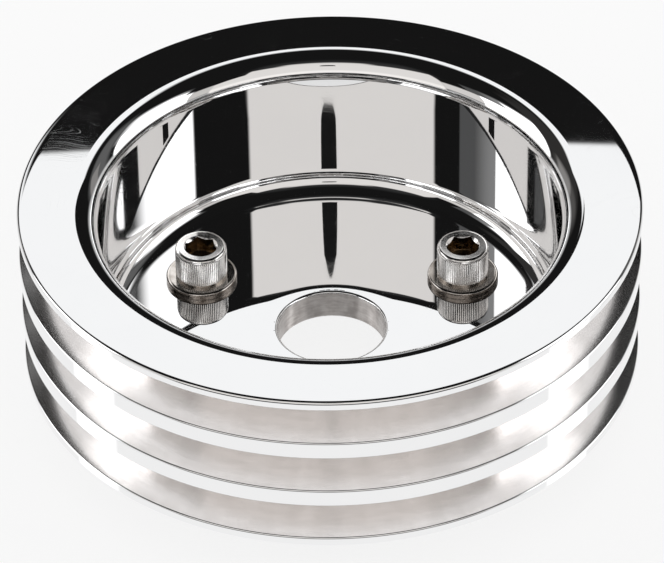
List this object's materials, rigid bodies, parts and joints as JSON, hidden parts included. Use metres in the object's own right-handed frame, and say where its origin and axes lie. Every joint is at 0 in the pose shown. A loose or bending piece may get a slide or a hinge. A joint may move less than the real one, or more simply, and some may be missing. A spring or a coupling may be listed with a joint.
{
  "type": "crankshaft pulley",
  "caption": "Polished billet V-belt crankshaft pulley with three grooves, a deep open cup and socket-head cap screws on flat washers.",
  "frame": {"origin": "centre of the rear mounting face, on the pulley's axis and at the centre of the screw circle", "axes": "+Z along the pulley's axis from the rear mounting face to the open mouth of the cup; screw 1 lies at -Y"},
  "size_m": [0.1682, 0.1682, 0.0675],
  "materials": {
    "polished_aluminium": "mirror polished, with satin turned belt grooves and bore",
    "washer_steel": "tumbled stainless steel",
    "screw_steel": "bright stainless steel, straight knurled head"
  },
  "bodies": {
    "pulley": {"pulley_body": "polished_aluminium"},
    "washer_1": {"flat_washer_1": "washer_steel"},
    "screw_1": {"cap_screw_1": "screw_steel"},
    "washer_2": {"flat_washer_2": "washer_steel"},
    "screw_2": {"cap_screw_2": "screw_steel"},
    "washer_3": {"flat_washer_3": "washer_steel"},
    "screw_3": {"cap_screw_3": "screw_steel"}
  },
  "joints": [
    {"name": "fastener_1_lift", "type": "slide", "parent": "pulley", "child": "washer_1", "axis": [0, 0, 1], "range_m": [0, 0.075]},
    {"name": "screw_1_turn", "type": "hinge", "parent": "washer_1", "child": "screw_1", "pos_m": [0, -0.0418, 0.01113], "axis": [0, 0, 1], "continuous": true},
    {"name": "fastener_2_lift", "type": "slide", "parent": "pulley", "child": "washer_2", "axis": [0, 0, 1], "range_m": [0, 0.075]},
    {"name": "screw_2_turn", "type": "hinge", "parent": "washer_2", "child": "screw_2", "pos_m": [0.0362, 0.0209, 0.01113], "axis": [0, 0, 1], "continuous": true},
    {"name": "fastener_3_lift", "type": "slide", "parent": "pulley", "child": "washer_3", "axis": [0, 0, 1], "range_m": [0, 0.075]},
    {"name": "screw_3_turn", "type": "hinge", "parent": "washer_3", "child": "screw_3", "pos_m": [-0.0362, 0.0209, 0.01113], "axis": [0, 0, 1], "continuous": true}
  ]
}
